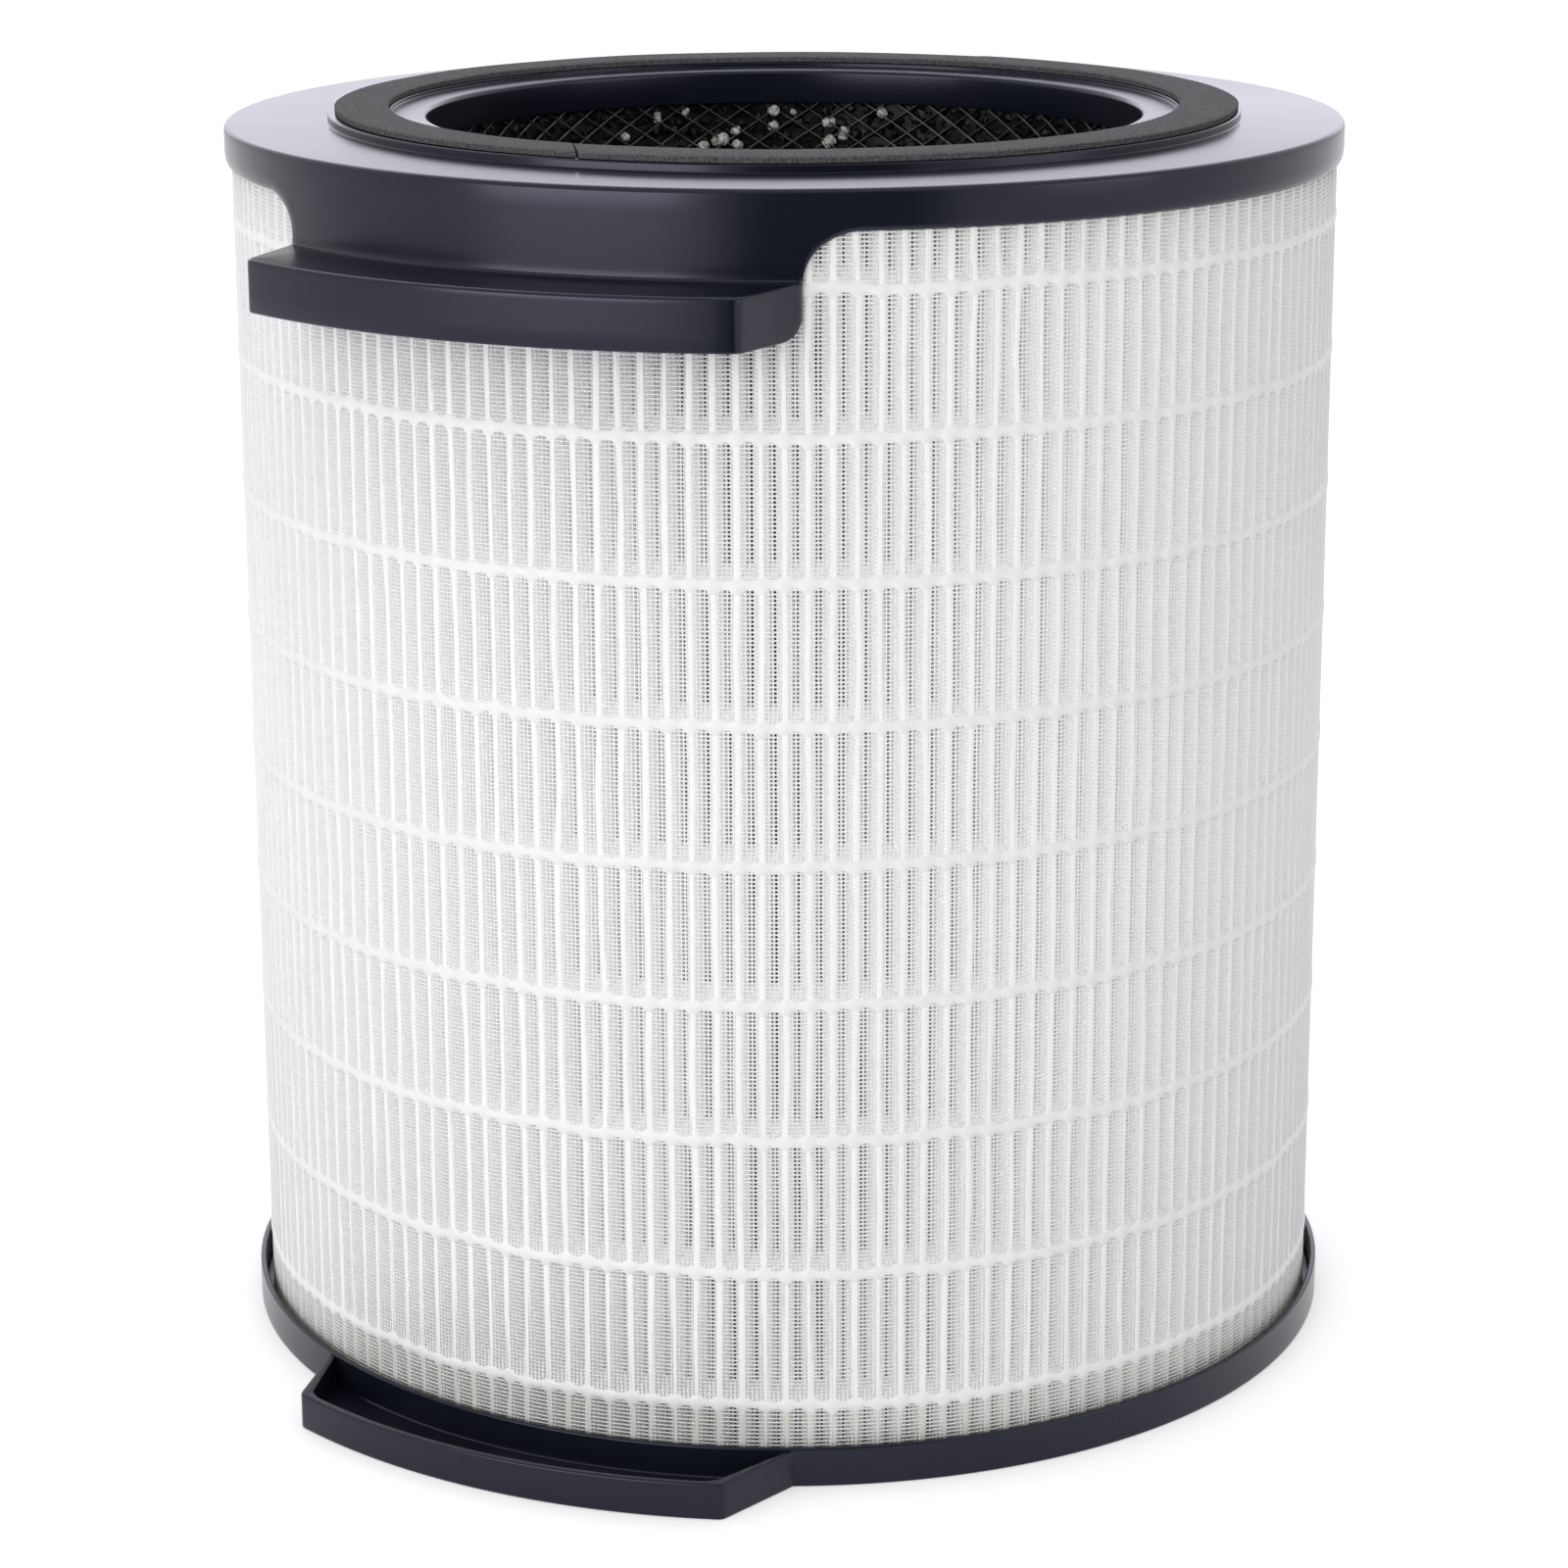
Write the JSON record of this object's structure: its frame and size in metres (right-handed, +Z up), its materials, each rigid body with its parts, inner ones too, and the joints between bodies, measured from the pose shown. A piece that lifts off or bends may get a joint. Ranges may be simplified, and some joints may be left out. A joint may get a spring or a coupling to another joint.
{
  "type": "air purifier filter cartridge",
  "caption": "Cylindrical air purifier filter: pleated sheet under a fine net between two dark end caps, granule bed round an open core, foam seal and two pull handles.",
  "frame": {"origin": "on the cylinder's axis, at the flat underside of the bottom cap", "axes": "+Z up along the cylinder's axis, out of the open bore; -Y towards the lip and the tab"},
  "size_m": [0.2732, 0.2916, 0.303],
  "materials": {
    "cap_plastic": "gloss",
    "seal_foam": "matte",
    "filter_sheet": "matte",
    "hot_melt": "satin",
    "white_net": "satin",
    "black_net": "satin",
    "granules": "matte",
    "sleeve_fabric": "matte"
  },
  "bodies": {
    "root": {"top_cap": "cap_plastic", "bottom_cap": "cap_plastic", "seal_left": "seal_foam", "seal_right": "seal_foam", "pleated_media": "filter_sheet", "glue_line_1": "hot_melt", "glue_line_2": "hot_melt", "glue_line_3": "hot_melt", "glue_line_4": "hot_melt", "glue_line_5": "hot_melt", "glue_line_6": "hot_melt", "glue_line_7": "hot_melt", "glue_line_8": "hot_melt", "glue_line_9": "hot_melt", "outer_net": "white_net", "core_net": "black_net", "carbon_bed": "granules", "bed_screen": "sleeve_fabric"}
  },
  "joints": []
}
